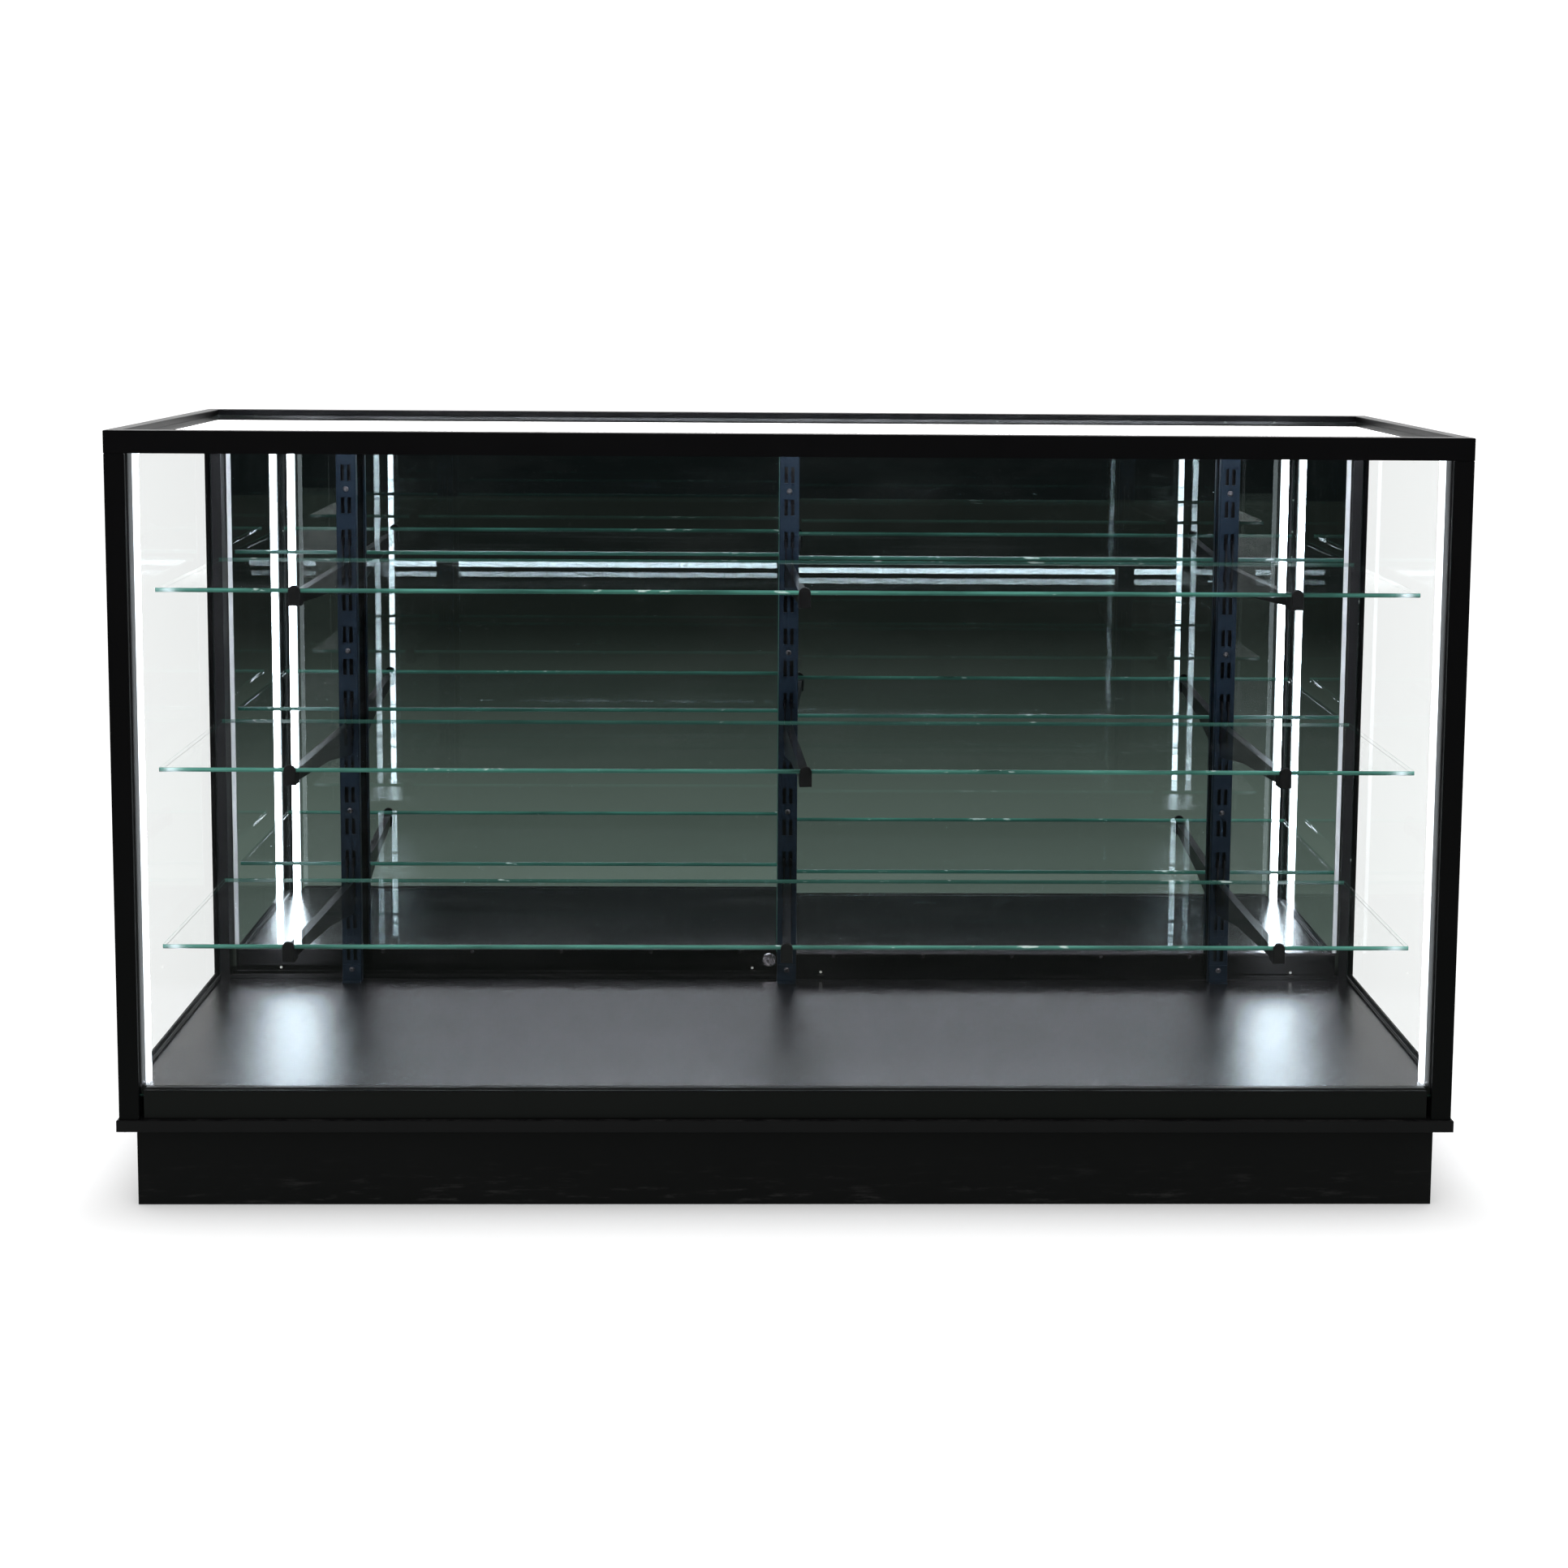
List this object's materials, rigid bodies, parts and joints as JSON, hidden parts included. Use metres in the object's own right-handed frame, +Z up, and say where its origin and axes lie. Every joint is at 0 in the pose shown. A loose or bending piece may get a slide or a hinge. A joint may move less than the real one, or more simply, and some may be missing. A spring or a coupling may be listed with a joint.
{
  "type": "glass display counter",
  "caption": "Floor-standing glass shop counter with a black frame and plinth, glass shelves on slotted standards, lit front corners and mirrored sliding doors at the rear",
  "frame": {"origin": "centre of the footprint on the floor", "axes": "X along the counter to the customer's right, Y from the customer's side to the rear doors, Z up"},
  "size_m": [1.806, 0.506, 1.055],
  "materials": {
    "laminate_black": "satin black laminate on board",
    "raw_board": "unfinished softwood",
    "frame_black": "satin black powder coat on aluminium",
    "corner_zinc": "mill finish",
    "clear_glass": "polished float glass, green edges",
    "mirror_silver": "silvered glass",
    "standard_slate": "dark slate grey satin paint",
    "bracket_black": "black satin paint",
    "rubber_black": "matt",
    "seal_grey": "light grey vinyl",
    "nylon": "off-white nylon",
    "pull_black": "fine texture",
    "lock_chrome": "bright chrome plate",
    "screw_zinc": "zinc plate",
    "light_aluminium": "white painted",
    "light_lens": "opal diffuser, lit",
    "wire_black": "vinyl",
    "driver_grey": "moulded case"
  },
  "bodies": {
    "case": {"plinth_front": "laminate_black", "plinth_rear": "laminate_black", "plinth_ends": "laminate_black", "base_board": "laminate_black", "deck_panel": "laminate_black", "plinth_cross_rails": "raw_board", "deck_battens": "raw_board", "front_bottom_rail": "frame_black", "left_bottom_rail": "frame_black", "right_bottom_rail": "frame_black", "rear_bottom_rail": "frame_black", "front_left_post": "frame_black", "front_right_post": "frame_black", "rear_left_post": "frame_black", "rear_right_post": "frame_black", "top_front_rail": "frame_black", "top_rear_rail": "frame_black", "top_left_rail": "frame_black", "top_right_rail": "frame_black", "door_track_top": "frame_black", "door_track_bottom": "frame_black", "top_corner_keys": "corner_zinc", "front_glass": "clear_glass", "left_glass": "clear_glass", "right_glass": "clear_glass", "top_glass": "clear_glass", "shelf_top": "clear_glass", "shelf_middle": "clear_glass", "shelf_bottom": "clear_glass", "standard_left": "standard_slate", "standard_centre": "standard_slate", "standard_right": "standard_slate", "standard_back_bars": "standard_slate", "standard_feet": "standard_slate", "shelf_brackets": "bracket_black", "bracket_caps": "rubber_black", "glazing_strips": "rubber_black", "frame_screws": "screw_zinc", "standard_screws": "screw_zinc", "led_channels": "light_aluminium", "led_lenses": "light_lens", "led_wiring": "wire_black", "led_driver": "driver_grey"},
    "left_door": {"left_door_mirror": "mirror_silver", "left_door_bottom_rail": "frame_black", "left_door_top_glides": "nylon", "left_door_edge_seal": "seal_grey", "left_door_pull": "pull_black", "lock_body": "lock_chrome"},
    "right_door": {"right_door_mirror": "mirror_silver", "right_door_bottom_rail": "frame_black", "right_door_top_glides": "nylon", "right_door_edge_seal": "seal_grey", "right_door_pull": "pull_black"},
    "left_roller_outer": {"left_roller_outer": "nylon"},
    "left_roller_inner": {"left_roller_inner": "nylon"},
    "right_roller_outer": {"right_roller_outer": "nylon"},
    "right_roller_inner": {"right_roller_inner": "nylon"},
    "lock_plunger": {"lock_plunger": "lock_chrome"},
    "lock_plug": {"lock_plug": "lock_chrome"}
  },
  "joints": [
    {"name": "left_door_slide", "type": "slide", "parent": "case", "child": "left_door", "axis": [1, 0, 0], "range_m": [0, 0.845]},
    {"name": "right_door_slide", "type": "slide", "parent": "case", "child": "right_door", "axis": [1, 0, 0], "range_m": [-0.845, 0]},
    {"name": "left_roller_outer_spin", "type": "hinge", "parent": "left_door", "child": "left_roller_outer", "pos_m": [-0.796, 0.2285, 0.1763], "axis": [0, 1, 0], "continuous": true},
    {"name": "left_roller_inner_spin", "type": "hinge", "parent": "left_door", "child": "left_roller_inner", "pos_m": [-0.054, 0.2285, 0.1763], "axis": [0, 1, 0], "continuous": true},
    {"name": "right_roller_outer_spin", "type": "hinge", "parent": "right_door", "child": "right_roller_outer", "pos_m": [0.796, 0.2095, 0.1763], "axis": [0, 1, 0], "continuous": true},
    {"name": "right_roller_inner_spin", "type": "hinge", "parent": "right_door", "child": "right_roller_inner", "pos_m": [0.054, 0.2095, 0.1763], "axis": [0, 1, 0], "continuous": true},
    {"name": "lock_push", "type": "slide", "parent": "left_door", "child": "lock_plunger", "axis": [0, -1, 0], "range_m": [0, 0.0095], "stiffness_N_per_m": 150},
    {"name": "lock_key_turn", "type": "hinge", "parent": "lock_plunger", "child": "lock_plug", "pos_m": [-0.027, 0.25, 0.19], "axis": [0, 1, 0], "range_deg": [0, 90]}
  ],
  "couplings": [
    {"joint": "left_roller_outer_spin", "follows": "left_door_slide", "rad_per_m": 166.67},
    {"joint": "left_roller_inner_spin", "follows": "left_door_slide", "rad_per_m": 166.67},
    {"joint": "right_roller_outer_spin", "follows": "right_door_slide", "rad_per_m": 166.67},
    {"joint": "right_roller_inner_spin", "follows": "right_door_slide", "rad_per_m": 166.67}
  ]
}
